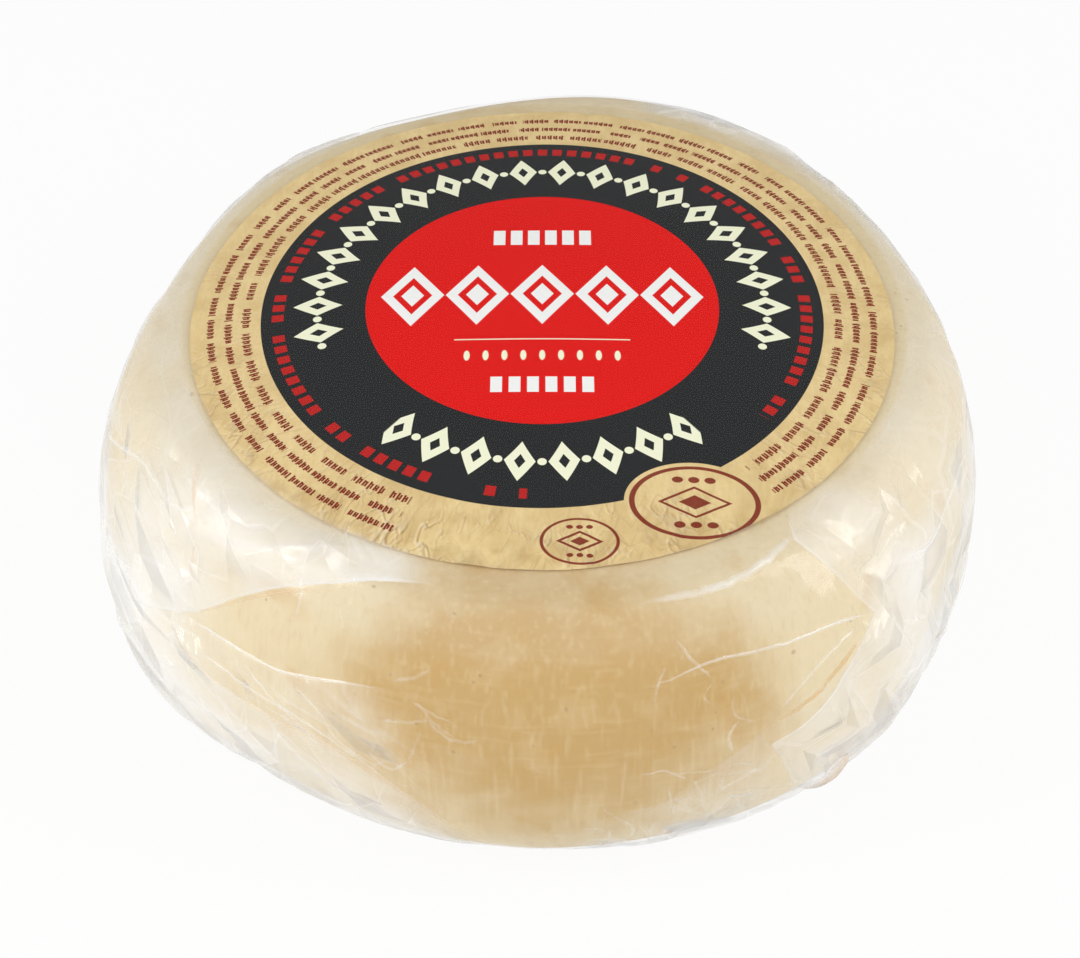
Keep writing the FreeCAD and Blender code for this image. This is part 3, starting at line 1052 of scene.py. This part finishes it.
def narrow_corner(corner, seed):
    """Folds of a corner whose spare film is drawn down to the foot."""
    corner.ply(
        seed=seed, haze=0.45, tone=0.10,
        edge=(
            (12.5, -12), (13.5, -6), (15.5, 0), (16.9, 2.7), (15.2, 3.3), (12.5, 4.0), (9.0, 5.8),
            (5.5, 8.7), (2.5, 11), (0.2, 12.4), (0.4, 13.2), (2.4, 16.5), (5.0, 21.0), (7.7, 25.2),
            (7.9, 26.4), (6.4, 28), (4, 29.5),
        ),
        far=(
            (-4, -22), (-6, -18), (-8, -13), (-9, -9), (-10, -6), (-10, -3), (-11, 0), (-12, 4),
            (-13, 8), (-14, 11), (-14, 13), (-14, 16), (-13, 20), (-11, 24), (-9, 26), (-6, 28), (-2, 30),
        ),
    )
    corner.ply(
        seed=seed + 4, haze=0.08, tan=0.7,
        edge=((2.5, 11.4), (8, 8.8), (12.5, 7.3), (16.5, 6.4), (20, 4.4), (25, 1.5), (29, -2), (35, -5)),
        far=((0, 2), (3, -3), (6, -8), (9, -11), (14, -15), (20, -18), (27, -20), (34, -20)),
    )
    corner.ply(
        seed=seed + 6, haze=0.06,
        edge=((17, 5.5), (22, 3), (26, -1), (33, -3.5), (40, -4.5)),
        far=((15, -12), (21, -14), (27, -16), (33, -17), (40, -17)),
    )
    corner.crease(((7, 26.5), (14, 25.5), (20, 25), (26, 25), (33, 25)), 1.3, haze=0.5)
    corner.crease(((0, 12.5), (6.5, 15), (13.5, 16), (20, 17), (26, 17), (34, 14.5)), 0.6)
    corner.crease(((2.5, 12.5), (8, 12), (13.5, 9.5), (16.5, 7)), 0.7, haze=0.3)
    corner.crease(((3, 11.2), (8, 8.7), (12.5, 7.0), (18, 5.2)), 0.9, haze=0.6, tan=1.0)
    corner.crease(((5.5, -4), (6, -10), (6.5, -16), (7, -23)), 2.8, haze=0.6, tan=0.6, height=1.0)
    corner.crease(((-6, 16), (-15, 13), (-26, 15), (-36, 11)), 1.0, haze=0.4)
    corner.crease(((-8, 1), (-17, -4), (-29, -3), (-38, -9)), 1.1, haze=0.4)
    corner.crinkles((22, 0), (8, 6), 12, seed)
    corner.crinkles((22, 15), (8, 3), 3, seed + 1)
    corner.crinkles((34, -7), (9, 4), 5, seed + 2)


# %% The four corners
folds = []
for number, (middle, hand, _meet, _depth) in enumerate(CORNERS):
    corner = Corner(middle, hand)
    folding = wide_corner if hand > 0 else narrow_corner
    folding(corner, 20 + 10 * number)
    under_flap(corner, 60 + 10 * number)
    mesh = corner.mesh
    bmesh.ops.recalc_face_normals(mesh, faces=mesh.faces)
    inward = [face for face in mesh.faces if face.normal.dot(face.calc_center_median() - HEART) < 0]
    bmesh.ops.reverse_faces(mesh, faces=inward)
    folds.append(piece_from(mesh, "corner_folds_" + str(number + 1)))


# %% [markdown]
# ## The finish of clear film
# Thin film is nearly all hole: what shows is its gloss, and a milky haze where it is stretched or lies in
# layers. Glass with refraction would bend the print under it, which thin film doesn't do. So a share of the
# light passes straight through, a small share is mirrored, more of it where the film is seen edge on, and
# the haze is a pale plastic mixed over both. Facets tilt the mirror, as the flats between creases do.

# %% Film finish
MILK = (0.87, 0.86, 0.835, 1)
TAN = (0.70, 0.44, 0.18, 1)
CRUMPLE_SIZE = 8 * MM
FACET_SIZE = 9 * MM
MOST_HAZE = 0.92


def film_finish():
    mix = new_finish("clear film")
    slack, cover = mix.carried("slack"), mix.carried("cover")
    height, creases = mix.crumpled(CRUMPLE_SIZE, 5)
    crumple_bump = mix.bump(height * (slack * 2.8 + 0.15), MM)
    cell = {"Vector": mix.place(stretch=(1, 1, 0.6)), "Scale": 1 / FACET_SIZE}
    tilt = mix.node("TexVoronoi", {"feature": "F1", "distance": "MANHATTAN"}, cell, "Color")
    centred = mix.vectors("SUBTRACT", {0: tilt, 1: (0.5, 0.5, 0.5)})
    leaning = mix.vectors("SCALE", {0: centred, "Scale": slack * 0.22 + 0.01})
    facets = mix.vectors("NORMALIZE", {0: mix.vectors("ADD", {0: crumple_bump, 1: leaning})})
    # The milk changes with the crumple's facets, partly painted reflection, and with soft clouds.
    clouded = mix.cloud(14 * MM, None, 1) * 0.6 + height * 0.7 + 0.35
    haze = mix.carried("haze") * clouded + creases * slack * 0.15
    grazing = mix.node("LayerWeight", sockets={"Blend": 0.5, "Normal": crumple_bump}, out="Facing")
    mirror = (grazing**5 * 0.7 + 0.035) * cover * (slack * 0.5 + 0.5)
    clear = mix.node("BsdfTransparent", sockets={"Color": PLAIN_WHITE})
    gloss = mix.node("BsdfAnisotropic", sockets={"Color": PLAIN_WHITE, "Roughness": 0.13, "Normal": facets})
    # Painted shade: the tan that plies and creases carry stands for the shade in the folds and the cheese's
    # colour seen through them.
    milk_with_painted_amber = mix.blend(mix.carried("tan"), MILK, TAN)
    milk = mix.node("BsdfPrincipled", sockets={"Base Color": milk_with_painted_amber, "Roughness": 0.3, "Normal": facets})
    thin = mix.node("MixShader", sockets={0: mirror, 1: clear, 2: gloss})
    share = mix.least(mix.most(haze, 0.0) * cover, MOST_HAZE)
    return mix.done(mix.node("MixShader", sockets={0: share, 1: thin, 2: milk}))


film_look = film_finish()
for piece in [film, *folds]:
    piece.data.materials.append(film_look)
    # Film passes on nearly all the light that falls on it, so it sheds no shade on the rind.
    piece.visible_shadow = False
    piece.visible_diffuse = False
    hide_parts("film")
